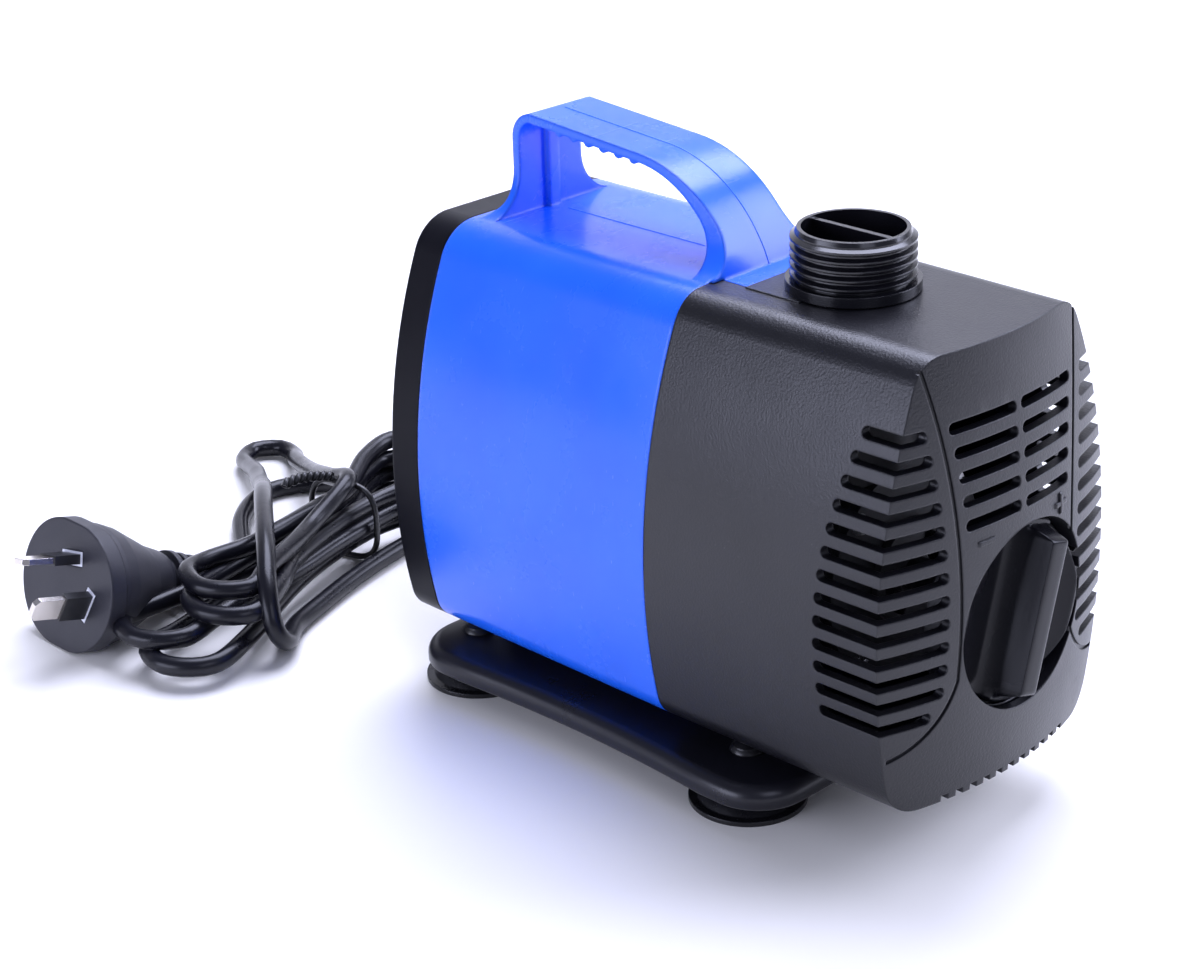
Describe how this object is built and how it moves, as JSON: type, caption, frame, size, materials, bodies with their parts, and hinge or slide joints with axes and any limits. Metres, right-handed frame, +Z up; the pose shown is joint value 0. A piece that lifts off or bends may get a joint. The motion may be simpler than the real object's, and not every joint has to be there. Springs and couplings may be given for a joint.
{
  "type": "fountain submersible pump",
  "caption": "Submersible water pump with a handled motor housing, slotted strainer, flow knob, threaded outlet, suction feet and corded plug.",
  "frame": {"origin": "on the floor, under the middle of the pump's own box without its cord", "axes": "+Z up; the motor axis runs along Y, the strainer and flow knob face -Y and the cable leaves towards +Y; +X is to the right seen from the knob"},
  "size_m": [0.155, 0.315, 0.1493],
  "materials": {
    "blue_abs": "satin-gloss moulded ABS",
    "satin_black": "fine spark-eroded grain, semi-matt",
    "gloss_black": "smooth moulded plastic",
    "inner_black": "plain moulded plastic",
    "stainless": "plain stainless steel",
    "nitrile": "soft nitrile rubber",
    "impeller_plastic": "plain moulded acetal",
    "ferrite": "sintered ferrite, sealed",
    "shaft_ceramic": "ground and polished ceramic",
    "lamination_steel": "stacked laminations, varnished",
    "bobbin_nylon": "glass-filled nylon",
    "winding_copper": "enamelled copper wire",
    "potting_resin": "cast epoxy resin",
    "cup_rubber": "smooth black rubber",
    "gland_black": "moulded nylon",
    "boot_rubber": "soft PVC",
    "cord_pvc": "glossy PVC sheath",
    "tie_pvc": "PVC-covered wire",
    "plug_pvc": "moulded PVC, matt face",
    "pin_nickel": "nickel-plated brass",
    "sleeve_nylon": "moulded nylon",
    "insert_nylon": "moulded nylon"
  },
  "bodies": {
    "pump": {"motor_housing": "blue_abs", "rear_cover": "satin_black", "rear_screws": "stainless", "strainer_housing": "satin_black", "outlet_nozzle": "gloss_black", "outlet_oring": "nitrile", "volute_casing": "inner_black", "volute_neck": "inner_black", "inlet_plate": "inner_black", "volute_screws": "stainless", "chamber_oring": "nitrile", "rotor_shaft": "shaft_ceramic", "front_bearing": "nitrile", "rear_bearing": "nitrile", "rotor_can": "inner_black", "stator_core": "lamination_steel", "bobbin_left": "bobbin_nylon", "bobbin_right": "bobbin_nylon", "winding_left": "winding_copper", "winding_right": "winding_copper", "potting_block": "potting_resin", "base_frame": "satin_black", "base_screws": "stainless", "suction_cup_1": "cup_rubber", "suction_cup_2": "cup_rubber", "suction_cup_3": "cup_rubber", "suction_cup_4": "cup_rubber", "cable_gland": "gland_black", "gland_boot": "boot_rubber", "cord_lead": "cord_pvc", "cord_hank": "cord_pvc", "cord_loop": "cord_pvc", "cord_tail": "cord_pvc", "cord_tie": "tie_pvc", "plug_body": "plug_pvc", "plug_pins": "pin_nickel", "pin_sleeves": "sleeve_nylon", "pin_inserts": "insert_nylon"},
    "flow_control": {"flow_knob": "satin_black", "flow_shutter": "inner_black", "knob_clip": "stainless"},
    "rotor": {"impeller": "impeller_plastic", "rotor_magnet": "ferrite"}
  },
  "joints": [
    {"name": "rotor_spin", "type": "hinge", "parent": "pump", "child": "rotor", "pos_m": [0.003, 0, 0.0555], "axis": [0, 1, 0], "continuous": true},
    {"name": "flow_knob_turn", "type": "hinge", "parent": "pump", "child": "flow_control", "pos_m": [0.003, -0.08, 0.0555], "axis": [0, 1, 0], "range_deg": [-62, 28]}
  ]
}
